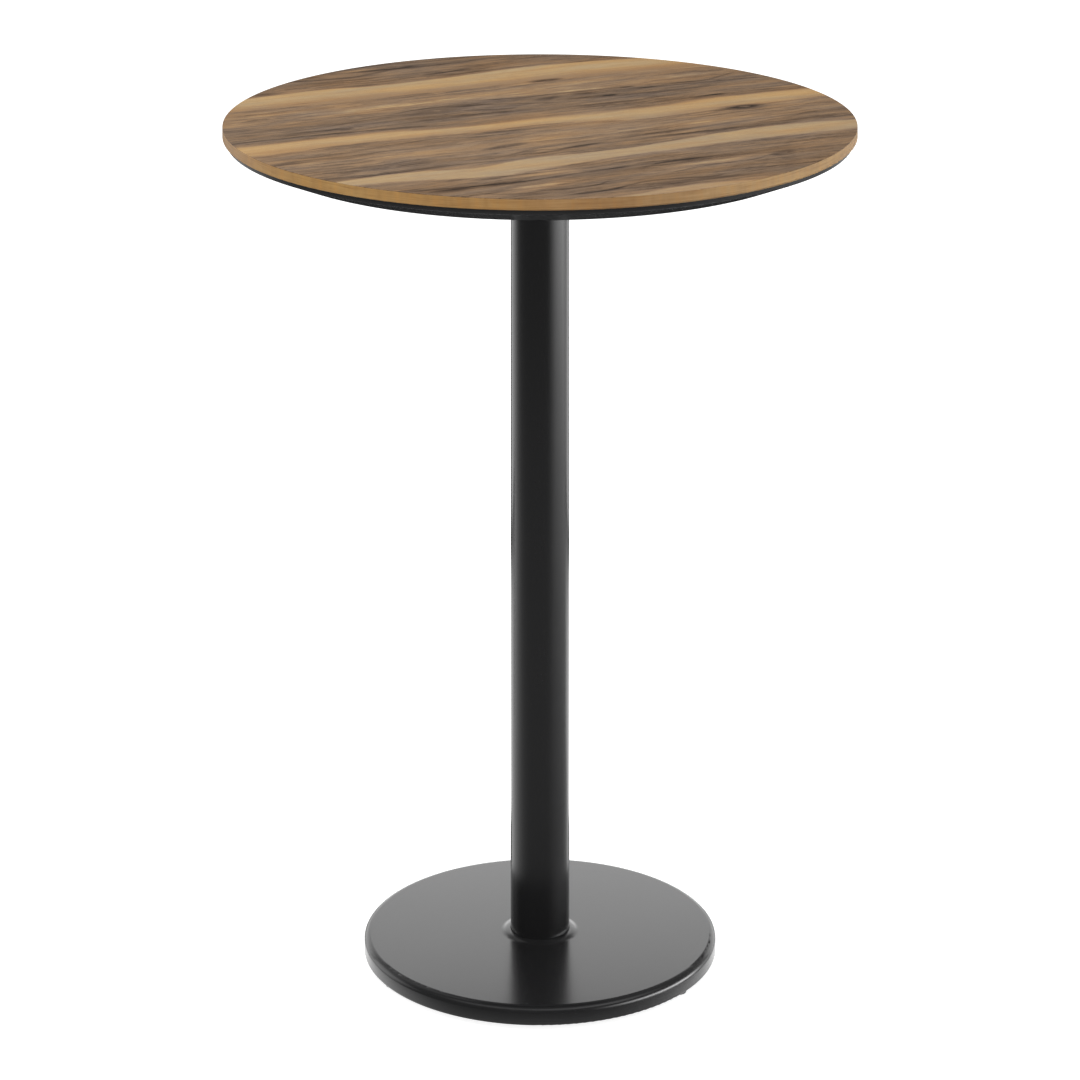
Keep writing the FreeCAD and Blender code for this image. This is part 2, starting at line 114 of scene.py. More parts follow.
class Graph:
    """A node tree that is written as Python expressions."""

    def __init__(self, tree: bpy.types.NodeTree) -> None:
        """Starts the tree empty."""
        self.tree = tree
        self.tree.nodes.clear()

    def node(self, kind: str, settings: Optional[Dict[str, Any]] = None,
             sockets: Optional[Dict[Union[str, int], Any]] = None) -> bpy.types.Node:
        """Adds a node of any kind.

        Args:
            kind: the node's type.
            settings: what is set first, such as an operation, a ramp's stops or a curve's points.
            sockets: what its inputs get: numbers, colours, sockets or Values.

        Returns:
            The new node.
        """
        node = self.tree.nodes.new(kind)
        for name, setting in (settings or {}).items():
            if name == "stops":
                ramp = node.color_ramp.elements
                while len(ramp) < len(setting):
                    ramp.new(0.5)
                for element, (place, colour) in zip(ramp, setting):
                    element.position, element.color = place, (*colour, 1.0)
            elif name == "points":
                points = node.mapping.curves[0].points
                while len(points) < len(setting):
                    points.new(0.5, 0.5)
                for point, place in zip(points, setting):
                    point.location = place
                node.mapping.update()
            else:
                setattr(node, name, setting)
        for name, given in (sockets or {}).items():
            if isinstance(given, Value):
                given = given.socket
            if isinstance(given, bpy.types.NodeSocket):
                self.tree.links.new(given, node.inputs[name])
            elif isinstance(given, tuple) and node.inputs[name].type == "RGBA":
                node.inputs[name].default_value = (*given[:3], 1.0)
            else:
                node.inputs[name].default_value = given
        return node

    def math(self, operation: str, *terms: Number) -> Value:
        """Adds a Math node of this operation."""
        node = self.node("ShaderNodeMath", {"operation": operation}, dict(enumerate(terms)))
        return Value(self, node.outputs[0])

    def place(self) -> bpy.types.NodeSocket:
        """The surface point in the object's own coordinates, in metres."""
        return self.node("ShaderNodeTexCoord").outputs["Object"]

    def moved(self, vector: Any, scale: Sequence[float] = (1.0, 1.0, 1.0), turn: float = 0.0,
              shift: Sequence[float] = (0.0, 0.0, 0.0), kind: str = "POINT") -> bpy.types.NodeSocket:
        """Scales, turns about Z and shifts a vector.

        Args:
            vector: the vector's socket.
            scale: the three scales.
            turn: the angle in degrees.
            shift: the three shifts.
            kind: POINT, or TEXTURE to undo the same steps instead.

        Returns:
            The moved vector's socket.
        """
        node = self.node("ShaderNodeMapping", {"vector_type": kind},
                         {"Vector": vector, "Location": tuple(shift), "Scale": tuple(scale),
                          "Rotation": (0.0, 0.0, math.radians(turn))})
        return node.outputs[0]

    def split(self, vector: Any) -> Tuple[Value, Value, Value]:
        """A vector's three parts."""
        node = self.node("ShaderNodeSeparateXYZ", None, {"Vector": vector})
        return Value(self, node.outputs[0]), Value(self, node.outputs[1]), Value(self, node.outputs[2])

    def join(self, x: Number, y: Number, z: Number = 0.0) -> bpy.types.NodeSocket:
        """A vector from three numbers."""
        return self.node("ShaderNodeCombineXYZ", None, {"X": x, "Y": y, "Z": z}).outputs[0]

    def length(self, vector: Any) -> Value:
        """A vector's length."""
        node = self.node("ShaderNodeVectorMath", {"operation": "LENGTH"}, {0: vector})
        return Value(self, node.outputs["Value"])

    def heading(self, x: Value, y: Value) -> Value:
        """The angle round Z in radians, 0 at the front and growing towards the right."""
        return self.math("ARCTAN2", x, 0.0 - y)

    def off_axis(self, x: Value, y: Value) -> Value:
        """The distance from the Z axis."""
        return (x * x + y * y) ** 0.5

    def noise(self, vector: Any, scale: float = 1.0, detail: float = 3.0, rough: float = 0.5,
              warp: float = 0.0) -> Value:
        """Cloudy noise, about 0.5 on average.

        Args:
            vector: where it is read.
            scale: spots per unit.
            detail: how many finer layers it has.
            rough: how strong those are.
            warp: how far it is stirred.

        Returns:
            The noise.
        """
        node = self.node("ShaderNodeTexNoise", None,
                         {"Vector": vector, "Scale": scale, "Detail": detail, "Roughness": rough,
                          "Distortion": warp})
        return Value(self, node.outputs[0])

    def stretched(self, vector: Any, scale: Sequence[float], shift: Sequence[float] = (0.0, 0.0, 0.0),
                  **layers: float) -> Value:
        """Cloudy noise whose spots are longer one way than another.

        Args:
            vector: where it is read.
            scale: spots per unit along each axis.
            shift: how far it is shifted, so that no two are alike.
            layers: its detail, rough and warp, as for noise.

        Returns:
            The noise.
        """
        return self.noise(self.moved(vector, scale, shift=shift), **layers)

    def curve(self, value: Value, points: Sequence[Point]) -> Value:
        """A drawn curve through points between 0 and 1, in rising order."""
        node = self.node("ShaderNodeFloatCurve", {"points": points}, {"Factor": 1.0, "Value": value})
        return Value(self, node.outputs[0])

    def ramp(self, value: Number, stops: Stops) -> bpy.types.NodeSocket:
        """A colour that runs through stops."""
        return self.node("ShaderNodeValToRGB", {"stops": stops}, {0: value}).outputs[0]

    def mix(self, share: Number, first: Any, second: Any, blend: str = "MIX") -> bpy.types.NodeSocket:
        """Two colours mixed, by the second one's share."""
        node = self.node("ShaderNodeMix", {"data_type": "RGBA", "blend_type": blend},
                         {0: share, 6: first, 7: second})
        return node.outputs[2]

    def bump(self, height: Value, depth: float, normal: Any = None) -> bpy.types.NodeSocket:
        """A normal for a relief.

        Args:
            height: the relief, 0 to 1.
            depth: its depth in metres.
            normal: the normal that it starts from, or None for the surface's own.

        Returns:
            The normal's socket.
        """
        sockets = {"Height": height, "Distance": depth, "Strength": 1.0}
        if normal is not None:
            sockets["Normal"] = normal
        return self.node("ShaderNodeBump", None, sockets).outputs[0]

    def finish(self, shader: Any, output: str = "ShaderNodeOutputMaterial") -> None:
        """Sends a shader to the tree's output."""
        self.node(output, None, {"Surface": shader})


def new_material(name: str) -> Tuple[bpy.types.Material, Graph]:
    """Makes an empty material.

    Args:
        name: its name.

    Returns:
        The material and the graph of its nodes.
    """
    material = bpy.data.materials.new(name)
    material.use_nodes = True
    return material, Graph(material.node_tree)


class Metal(Enum):
    """How a bright metal surface was left."""
    ZINC = "zinc"
    TURNED = "turned"
    BRASS = "brass"


class Side(Enum):
    """Which rays see a stage piece."""
    ALL = "all"
    MIRRORED = "mirrored"


@dataclass(frozen=True)
class Finish:
    """A surface finish; its kinds say how the surface looks."""
    name: str

    def paint(self, graph: Graph) -> Dict[str, Any]:
        """What the shader's sockets get."""
        raise NotImplementedError

    def material(self) -> bpy.types.Material:
        """Makes the material.

        Returns:
            A material with this finish's nodes.
        """
        made, graph = new_material(self.name)
        shader = graph.node("ShaderNodeBsdfPrincipled", None, self.paint(graph))
        graph.finish(shader.outputs[0])
        return made


# ---------------------------------------------------------------- finishes
@dataclass(frozen=True)
class Sapwood:
    """A light band in the printed grain. Its edges are points along and across the grain, in mm."""
    upper: Sequence[Point]
    lower: Sequence[Point]
    upper_soft: float
    lower_soft: float
    tone: float
    fall: float


@dataclass(frozen=True)
class Streak:
    """A dark streak or knot in the printed grain, in mm, or a pale streak where its depth is negative."""
    along: float
    across: float
    half_length: float
    half_width: float
    depth: float
    tilt: float = 0.0
    knot: bool = False


@dataclass(frozen=True)
class Vein:
    """A winding dark line in the printed grain, in mm, that fades in over each of its ends."""
    points: Sequence[Point]
    half_width: float
    depth: float
    past_end: float = 12.0
    within_end: float = 16.0


@dataclass
class Marks:
    """What veins, streaks and knots do to the grain: tones, and how far fibres part round a knot, in mm."""
    dark: Number = 0.0
    pale: Number = 0.0
    eyes: Number = 0.0
    parting: Number = 0.0


@dataclass
class Fibres:
    """The grain's own noise, from coarse to hair-fine, and the place where it is read."""
    place: bpy.types.NodeSocket
    coarse: Value
    medium: Value
    fine: Value
    hair: Value


@dataclass(frozen=True)
class GrainDecor(Finish):
    """Printed wood grain with light sapwood bands, on a satin laminate.

    The grain runs at an angle to X, in degrees, and places are in mm along and across it. Heart and warm give
    the tone and the warmth by the place across the grain, and reach is half the board's width.
    """
    angle: float = 26.0
    reach: float = 400.0
    tones: Stops = (
        (0.00, srgb(48, 36, 26)), (0.22, srgb(91, 72, 56)), (0.42, srgb(119, 97, 76)),
        (0.60, srgb(141, 114, 87)), (0.76, srgb(158, 129, 97)), (0.90, srgb(178, 150, 111)),
        (1.00, srgb(189, 164, 125)))
    heart: Sequence[Point] = (
        (-400, 0.58), (-380, 0.50), (-350, 0.36), (-300, 0.44), (-272, 0.38), (-240, 0.45), (-160, 0.46),
        (-145, 0.44), (-90, 0.57), (-60, 0.52), (0, 0.50), (50, 0.43), (115, 0.41), (150, 0.61), (185, 0.58),
        (215, 0.52), (295, 0.45), (340, 0.42), (375, 0.36), (400, 0.42))
    heart_lift: float = 0.09
    warm: Sequence[Point] = (
        (-400, 0.50), (-300, 0.50), (-250, 0.47), (-190, 0.41), (-140, 0.44), (-60, 0.48), (-15, 0.57),
        (10, 0.63), (35, 0.52), (65, 0.40), (110, 0.43), (150, 0.51), (190, 0.51), (235, 0.63), (262, 0.57),
        (290, 0.60), (340, 0.53), (400, 0.48))
    warm_middle: float = 0.515
    warm_tones: Stops = (
        (0.26, (0.906, 0.978, 1.14)), (0.38, (0.949, 0.983, 1.05)), (0.50, (0.995, 0.985, 0.97)),
        (0.62, (1.043, 0.985, 0.89)), (0.74, (1.093, 0.983, 0.81)))
    pore_tint: Colour = (0.35, 0.30, 0.27)
    bands: Sequence[Sapwood] = (
        Sapwood(((-400, 255), (-280, 279), (-180, 285), (-100, 276), (0, 281), (110, 293), (180, 291),
                 (280, 280), (400, 250)),
                ((-400, 222), (-240, 210), (0, 208), (200, 205), (400, 203)), 4.0, 3.0, 0.90, 0.22),
        Sapwood(((-400, 33), (-300, 31), (-200, 30), (-140, 18), (0, 13), (100, 10), (180, 10), (270, 18),
                 (400, 14)),
                ((-400, -23), (-350, -20), (-270, -11), (-190, -15), (-100, -20), (10, -19), (60, -32),
                 (110, -46), (160, -46), (260, -39), (400, -34)), 8.0, 2.5, 0.88, 0.10),
        Sapwood(((-400, -192), (-330, -179), (-270, -175), (-170, -190), (-100, -175), (-20, -179),
                 (100, -170), (190, -156), (270, -153), (330, -160), (400, -178)),
                ((-400, -212), (-270, -216), (-195, -237), (-110, -231), (-20, -217), (60, -211),
                 (250, -207), (400, -212)), 3.0, 4.0, 0.86, 0.03),
        Sapwood(((-400, -396), (-70, -388), (20, -376), (110, -388), (400, -396)),
                ((-400, -400), (400, -400)), 4.0, 3.0, 0.80, 0.0))
    streaks: Sequence[Streak] = (
        Streak(-165, 358, 22, 5, 0.5), Streak(-60, 360, 45, 4, 0.4), Streak(-255, 292, 26, 9, 0.5),
        Streak(110, 209, 26, 7, 1.10, knot=True), Streak(-225, 221, 22, 3, 0.4),
        Streak(-92, 108, 44, 15, 0.40, knot=True), Streak(66, 110, 22, 9, 0.62, 0.15),
        Streak(120, 119, 20, 6, 0.5), Streak(146, 93, 12, 6, 0.6), Streak(186, 126, 15, 4.5, 0.7),
        Streak(-285, 70, 50, 7, 0.45), Streak(-238, 65, 9, 5, 0.6), Streak(270, 36, 18, 4.5, 0.7),
        Streak(-60, 66, 90, 6, 0.28), Streak(120, 52, 70, 5, 0.25),
        Streak(270, -42, 36, 13, 1.15, knot=True), Streak(240, -48, 20, 4, 0.5),
        Streak(-372, -75, 36, 5, 0.5), Streak(-100, -106, 34, 8, 0.65, 0.16, knot=True),
        Streak(-15, -143, 34, 5, 0.75, 0.12), Streak(-250, -277, 32, 7, 0.4),
        Streak(192, -284, 24, 11, 0.62, 0.3, knot=True), Streak(0, -362, 60, 3, 0.3),
        Streak(-95, 370, 34, 6, -0.30), Streak(130, 138, 50, 4, -0.35),
        Streak(-150, 158, 130, 8, -0.16), Streak(-150, -302, 44, 6, -0.32), Streak(80, -284, 86, 12, -0.26),
        Streak(-120, -252, 60, 6, -0.2), Streak(-45, -139, 34, 4, -0.26), Streak(-230, -92, 80, 12, -0.12),
        Streak(-20, -95, 60, 10, -0.12))
    veins: Sequence[Vein] = (
        Vein(((-300, -262), (-250, -268), (-200, -274), (-150, -276), (-110, -270), (-60, -264),
              (-10, -264)), 5, 0.55),
        Vein(((18, -269), (40, -264), (70, -261), (95, -262)), 5, 0.55),
        Vein(((-228, -302), (-210, -318), (-180, -328), (-150, -326), (-120, -331), (-90, -330),
              (-65, -317)), 4.5, 0.5),
        Vein(((-135, -358), (-80, -356), (-50, -346), (-20, -340), (20, -344), (60, -350),
              (78, -344)), 5, 0.5),
        Vein(((25, -312), (60, -304), (100, -300), (150, -297), (165, -290)), 3.5, 0.45),
        Vein(((-330, -172), (-280, -170), (-230, -168), (-180, -166), (-130, -168)), 3.5, 0.5),
        Vein(((-85, -157), (-50, -151), (-20, -144), (18, -140)), 5, 0.55),
        Vein(((-170, -158), (-120, -150), (-80, -136), (-30, -126), (20, -124)), 4, 0.25),
        Vein(((60, -110), (150, -103), (250, -99), (380, -90)), 3, 0.25),
        Vein(((40, -128), (120, -120), (220, -112), (300, -108), (390, -100)), 6, 0.35),
        Vein(((60, -148), (150, -139), (250, -136), (380, -128)), 7, 0.30),
        Vein(((-400, -74), (-350, -66), (-300, -70), (-240, -64)), 6, 0.35),
        Vein(((-10, 137), (20, 132), (60, 130), (100, 129), (150, 128), (190, 130)), 4.5, 0.55),
        Vein(((200, 112), (260, 116), (300, 118), (330, 130), (355, 143)), 5, 0.45),
        Vein(((-152, 116), (-120, 124), (-85, 126), (-55, 119), (-20, 112), (20, 98), (70, 80)), 4, 0.45),
        Vein(((-210, 104), (-160, 112), (-135, 103), (-100, 95), (-60, 92), (-20, 84)), 4, 0.40),
        Vein(((-395, 51), (-350, 53), (-300, 50), (-240, 46), (-190, 44), (-140, 37)), 5, 0.5),
        Vein(((60, 64), (120, 68), (180, 74), (230, 82), (300, 84)), 4, 0.25),
        Vein(((-195, 346), (-150, 338), (-110, 336), (-80, 345), (-50, 355), (-8, 366)), 7, 0.5),
        Vein(((-22, 308), (10, 312), (48, 319)), 5.5, 0.6), Vein(((0, 293), (30, 296), (65, 301)), 4, 0.4),
        Vein(((-150, 383), (-60, 388), (20, 384), (95, 388)), 5, 0.4),
        Vein(((60, 345), (120, 348), (200, 330), (250, 308)), 4, 0.2))

    @property
    def width(self) -> float:
        """The whole board's width, in mm."""
        return 2 * self.reach

    def share(self, place: Number) -> Number:
        """A place in mm as a share of the board's width, which is what a drawn curve takes."""
        return place / self.width + 0.5

    def drawn(self, graph: Graph, along: Value, points: Sequence[Point]) -> Value:
        """A line drawn through points in mm.

        Args:
            graph: the material's graph.
            along: where along the grain, 0 to 1 over the whole board.
            points: along and across the grain, in mm.

        Returns:
            The line's place across the grain, in mm.
        """
        curve = graph.curve(along, [(self.share(x), self.share(y)) for x, y in points])
        return (curve - 0.5) * self.width

    def profile(self, graph: Graph, across: Value, points: Sequence[Point]) -> Value:
        """A level that changes across the grain.

        Args:
            graph: the material's graph.
            across: the place across the grain, in mm.
            points: places across the grain, each with its level.

        Returns:
            The level.
        """
        return graph.curve(self.share(across), [(self.share(x), level) for x, level in points])

    def swayed(self, graph: Graph, across: Value, level: Any) -> Value:
        """Sways the grain, so that no line in it runs quite straight.

        Args:
            graph: the material's graph.
            across: the place across the grain, in mm.
            level: the place along and across the grain, as a vector.

        Returns:
            The place across the swayed grain.
        """
        drift = graph.stretched(level, (0.009, 0.022, 1.0), detail=2.0) - 0.5
        ripple = graph.stretched(level, (0.035, 0.16, 1.0), detail=2.0) - 0.5
        waver = graph.stretched(level, (0.085, 0.22, 1.0), (2.0, 8.0, 0.0), detail=2.0) - 0.5
        return across + drift * 9.0 + ripple * 3.2 + waver * 2.4

    def veined(self, graph: Graph, along: Value, across: Value) -> Value:
        """How dark the veins are.

        Args:
            graph: the material's graph.
            along: the place along the grain, in mm.
            across: the place across the grain, in mm.

        Returns:
            Their depth, 0 where there is none.
        """
        dark: Number = 0.0
        place = self.share(along)
        for vein in self.veins:
            start, end = vein.points[0][0], vein.points[-1][0]
            away = abs(across - self.drawn(graph, place, vein.points))
            line = (away.smooth(vein.half_width, 0.0)
                    * along.smooth(start - vein.past_end, start + vein.within_end)
                    * along.smooth(end + vein.past_end, end - vein.within_end) * vein.depth)
            dark = line if isinstance(dark, float) else dark.most(line)
        return dark

    def marked(self, graph: Graph, along: Value, across: Value, level: Any) -> Marks:
        """Draws the veins, then the streaks and knots with torn outlines.

        Args:
            graph: the material's graph.
            along: the place along the grain, in mm.
            across: the place across the swayed grain, in mm.
            level: the place along and across the grain before it sways, as a vector.

        Returns:
            What they do to the grain.
        """
        marks = Marks(dark=self.veined(graph, along, across))
        torn = graph.stretched(level, (0.05, 0.45, 1.0), detail=3.0, rough=0.6) - 0.5
        loose = graph.join(along + torn * 30.0, across + torn * 3.0)
        for streak in self.streaks:
            local = graph.moved(loose, (streak.half_length, streak.half_width, 1.0),
                                math.degrees(math.atan(streak.tilt)), (streak.along, streak.across, 0.0),
                                "TEXTURE")
            away = graph.length(local)
            body = away.smooth(1.3, 0.25)
            if streak.depth < 0:
                marks.pale = body * -streak.depth + marks.pale
                continue
            marks.dark = marks.dark.most(body * streak.depth)
            if streak.knot:
                _, height, _ = graph.split(local)
                marks.parting = height * body * (streak.half_width * 0.9) + marks.parting
                marks.eyes = away.smooth(0.42, 0.12) * streak.depth + marks.eyes
        return marks

    def fibres(self, graph: Graph, along: Value, bent: Value) -> Fibres:
        """The grain's noise, stretched along it.

        Args:
            graph: the material's graph.
            along: the place along the grain, in mm.
            bent: the place across the grain as it bends round the knots, in mm.

        Returns:
            The noise from coarse to hair-fine.
        """
        place = graph.join(along, bent)
        return Fibres(
            place,
            coarse=graph.stretched(place, (0.0045, 0.045, 1.0), detail=3.0, rough=0.55, warp=0.3),
            medium=graph.stretched(place, (0.012, 0.12, 1.0), (3.1, 7.7, 0.0), detail=4.0, rough=0.6,
                                   warp=0.6),
            fine=graph.stretched(place, (0.030, 0.34, 1.0), (9.2, 1.3, 0.0), detail=4.0, rough=0.65),
            hair=graph.stretched(place, (0.10, 2.2, 1.0), (5.5, 4.1, 0.0), detail=2.0))

    def heartwood(self, graph: Graph, across: Value, bent: Value, fibres: Fibres) -> Value:
        """The tone between the bands: year rings, dusky patches, dark hairs and flecks.

        Args:
            graph: the material's graph.
            across: the place across the grain, in mm.
            bent: the same as it bends round the knots, in mm.
            fibres: the grain's noise.

        Returns:
            The tone, 0 dark to 1 pale.
        """
        winding = graph.stretched(fibres.place, (0.0035, 0.012, 1.0), (2.2, 6.4, 0.0), detail=1.0)
        ring = graph.math("FRACT", bent * 0.062 + winding * 5.0 + fibres.medium * 0.7)
        strength = graph.stretched(fibres.place, (0.006, 0.03, 1.0), (7.3, 0.4, 0.0), detail=2.0)
        rings = ring.smooth(0.35, 0.93) * ring.smooth(1.0, 0.95) * strength.smooth(0.40, 0.62)
        dusky = (fibres.medium * 0.6 + fibres.coarse * 0.4).smooth(0.46, 0.33)
        hairs = (1 - abs(fibres.medium - 0.5) * 20.0).most(0.0) * strength.smooth(0.40, 0.58)
        flecks = graph.stretched(fibres.place, (0.055, 0.80, 1.0), (4.4, 3.3, 0.0), detail=2.0)
        return (self.profile(graph, across, self.heart) + self.heart_lift + (fibres.coarse - 0.5) * 0.45
                + (fibres.medium - 0.5) * 0.52 + (fibres.fine - 0.5) * 0.80
                - dusky * 0.08 - rings * 0.15 - hairs * 0.17 - flecks.smooth(0.58, 0.70) * 0.12)

    def sapwood(self, graph: Graph, along: Value, across: Value, fibres: Fibres, tone: Value) -> Value:
        """Lays the light bands over the heartwood, each a little darker at its lower edge.

        Args:
            graph: the material's graph.
            along: the place along the grain, in mm.
            across: the place across the grain, in mm.
            fibres: the grain's noise.
            tone: the heartwood's tone.

        Returns:
            The tone with the bands.
        """
        place = self.share(along)
        ragged = across + (fibres.fine - 0.5) * 9.0
        for band in self.bands:
            top = self.drawn(graph, place, band.upper)
            bottom = self.drawn(graph, place, band.lower)
            inside = ((ragged - bottom).smooth(-band.lower_soft, band.lower_soft)
                      * (top - ragged).smooth(-band.upper_soft, band.upper_soft))
            rise = ((across - bottom) / (top - bottom + 1.0)).smooth(0.0, 0.55)
            light = (band.tone - band.fall + rise * band.fall + (fibres.coarse - 0.5) * 0.16
                     + (fibres.medium - 0.5) * 0.20 + (fibres.fine - 0.5) * 0.26)
            tone = tone + (light - tone) * inside
        return tone

    def warmed(self, graph: Graph, along: Value, across: Value, fibres: Fibres,
               colour: Any) -> bpy.types.NodeSocket:
        """Makes the wood golden or cool by its place across the grain, and warmer towards both ends.

        Args:
            graph: the material's graph.
            along: the place along the grain, in mm.
            across: the place across the grain, in mm.
            fibres: the grain's noise.
            colour: the wood's colour.

        Returns:
            The colour's socket.
        """
        warmth = graph.stretched(fibres.place, (0.008, 0.035, 1.0), (1.7, 2.9, 0.0), detail=3.0)
        gold = self.profile(graph, across, self.warm) - self.warm_middle
        ends = along.smooth(150.0, 340.0) * 0.07 + along.smooth(-200.0, -340.0) * 0.03
        return graph.mix(1.0, colour, graph.ramp(warmth + gold + ends, self.warm_tones), "MULTIPLY")

    def paint(self, graph: Graph) -> Dict[str, Any]:
        """Sapwood bands, streaks, knots, fibres and pores along the grain.

        Args:
            graph: the material's graph.

        Returns:
            The shader's sockets.
        """
        along, across, _ = graph.split(graph.moved(graph.place(), (MM, MM, MM), -self.angle))
        level = graph.join(along, across)
        across = self.swayed(graph, across, level)
        marks = self.marked(graph, along, across, level)
        bent = across - marks.parting
        fibres = self.fibres(graph, along, bent)

        tone = self.heartwood(graph, across, bent, fibres)
        tone = self.sapwood(graph, along, across, fibres, tone)
        knots = marks.eyes * fibres.fine.smooth(0.44, 0.58) * 0.55
        dark = marks.dark * (0.75 + (fibres.fine - 0.5) * 2.6).most(0.15) * 0.72
        tone = tone + (fibres.hair - 0.5) * 0.20 + knots + marks.pale - dark

        colour = self.warmed(graph, along, across, fibres, graph.ramp(tone, self.tones))
        pores = graph.stretched(fibres.place, (0.16, 3.4, 1.0), (8.0, 6.0, 0.0), detail=1.0)
        pits = pores.smooth(0.60, 0.72)
        return {"Base Color": graph.mix(pits * 0.22, colour, self.pore_tint, "MULTIPLY"),
                "Roughness": 0.55 + (fibres.fine - 0.5) * 0.16 + pits * 0.12,
                "Specular IOR Level": 0.08,
                "Normal": graph.bump(1 - pits * 0.8 + fibres.hair * 0.3, 0.00006)}


@dataclass(frozen=True)
class EdgeVeneer(Finish):
    """Golden edge band: its own grain runs round the top's edge. Painted light and shade tint it by the angle
    round the table, in degrees: painted shade at the front, a paler, cooler painted light towards the right
    and a lighter painted patch at the left.
    """
    radius: float = 0.4
    light: Colour = srgb(188, 152, 104)
    middle: Colour = srgb(178, 140, 88)
    deep: Colour = srgb(158, 119, 72)
    line: Colour = srgb(126, 90, 54)
    flame: Colour = (1.0, 0.92, 0.82)
    painted_light_turns: Stops = (
        (-75, (1.0, 1.0, 1.0)), (-60, (0.99, 0.96, 0.93)), (-47, (1.08, 1.10, 1.05)),
        (-33, (1.09, 1.12, 1.10)), (-17, (1.0, 1.0, 0.98)), (-7, (1.0, 1.02, 1.05)), (3, (0.88, 0.86, 0.93)),
        (26, (0.88, 0.93, 1.15)), (39, (1.03, 1.14, 1.42)), (52, (1.04, 1.15, 1.34)),
        (66, (1.01, 1.05, 1.10)), (85, (1.0, 1.0, 1.0)))

    def paint(self, graph: Graph) -> Dict[str, Any]:
        """Long fibres round the edge, clouds of lighter wood, fine dark lines, and painted light and shade
        that change slowly with the angle round the edge.

        Args:
            graph: the material's graph.

        Returns:
            The shader's sockets.
        """
        x, y, z = graph.split(graph.place())
        around = graph.heading(x, y)
        sheet = graph.join(around * (self.radius * MM), z * MM, graph.off_axis(x, y) * MM * 0.4)
        clouds = graph.stretched(sheet, (0.016, 0.05, 0.02), detail=3.0, rough=0.55, warp=0.4)
        strands = graph.stretched(sheet, (0.012, 0.42, 0.3), (4.0, 2.0, 0.0), detail=4.0, rough=0.6)
        hair = graph.stretched(sheet, (0.03, 2.2, 1.4), (1.0, 9.0, 0.0), detail=3.0, rough=0.6)
        flames = graph.stretched(sheet, (0.10, 0.02, 0.02), (7.0, 3.0, 0.0), detail=2.0)

        tone = (0.24 + (clouds - 0.5) * 0.9 + (strands - 0.5) * 1.3 + (hair - 0.5) * 0.5
                + (flames - 0.5) * 0.8)
        colour = graph.ramp(tone, ((0.0, self.deep), (0.55, self.middle), (1.0, self.light)))
        colour = graph.mix(flames.smooth(0.47, 0.66) * 0.8, colour, self.flame, "MULTIPLY")
        # Painted light and shade: the tint by the angle round the edge stands in for light, darker at the
        # front and paler at the right and at the left.
        turn = around / math.pi + 0.5 + (clouds - 0.5) * 0.12
        painted_light_tint = graph.ramp(turn, [(angle / 180 + 0.5, colour_there) for angle, colour_there in self.painted_light_turns])
        colour = graph.mix(1.0, colour, painted_light_tint, "MULTIPLY")
        lines = strands.smooth(0.42, 0.30) * 0.55 + hair.smooth(0.38, 0.28) * 0.25
        return {"Base Color": graph.mix(lines, colour, self.line),
                "Roughness": 0.50 + (hair - 0.5) * 0.15,
                "Specular IOR Level": 0.22,
                "Normal": graph.bump(hair, 0.00005)}


@dataclass(frozen=True)
class BlackCoat(Finish):
    """Black coating: powder coat, lacquer or paint over a casting.

    Gloss is the shader's specular level. Dimple is the size of the orange peel's dimples, relief their depth,
    and cast the depth of a casting's skin, in metres.
    """
    colour: Colour = (0.0125, 0.0125, 0.013)
    roughness: float = 0.22
    gloss: float = 0.5
    dimple: float = 0.0016
    relief: float = 0.000006
    cast: float = 0.0

    def paint(self, graph: Graph) -> Dict[str, Any]:
        """Orange peel, faint handling marks and, over a casting, its sandy skin.

        Args:
            graph: the material's graph.

        Returns:
            The shader's sockets.
        """
        place = graph.place()
        peel = graph.noise(place, 1.0 / self.dimple, 2.0, 0.5)
        cloud = graph.noise(place, 9.0, 4.0, 0.55)
        rub = graph.stretched(place, (60.0, 60.0, 14.0), detail=5.0, rough=0.7)
        normal = graph.bump(peel, self.relief)
        if self.cast:
            skin = graph.noise(place, 900.0, 4.0, 0.6) * 0.5 + graph.noise(place, 160.0, 3.0, 0.5) * 0.5
            normal = graph.bump(skin, self.cast, normal)
        return {"Base Color": graph.mix(cloud * 0.5, self.colour, tuple(c * 1.35 for c in self.colour)),
                "Roughness": self.roughness + (cloud - 0.5) * 0.06 + rub.smooth(0.62, 0.75) * 0.05,
                "Specular IOR Level": self.gloss,
                "Normal": normal}


@dataclass(frozen=True)
class BrightMetal(Finish):
    """Plated, turned or brass fasteners and sleeves."""
    metal: Metal = Metal.ZINC

    def paint(self, graph: Graph) -> Dict[str, Any]:
        """Tool marks round the axis, a blotchy passivated skin and soft wear.

        Args:
            graph: the material's graph.

        Returns:
            The shader's sockets.
        """
        base, warm, roughness = {
            Metal.ZINC: ((0.60, 0.61, 0.63), (0.62, 0.60, 0.52), 0.30),
            Metal.TURNED: ((0.46, 0.46, 0.47), (0.42, 0.41, 0.40), 0.34),
            Metal.BRASS: ((0.72, 0.53, 0.25), (0.60, 0.42, 0.20), 0.28)}[self.metal]
        place = graph.place()
        skin = graph.noise(place, 140.0, 4.0, 0.6)
        marks = graph.stretched(place, (300.0, 300.0, 4200.0), detail=2.0)
        return {"Base Color": graph.mix(skin.smooth(0.4, 0.7), base, warm),
                "Metallic": 1.0,
                "Roughness": roughness + (skin - 0.5) * 0.25,
                "Normal": graph.bump(marks, 0.00001)}


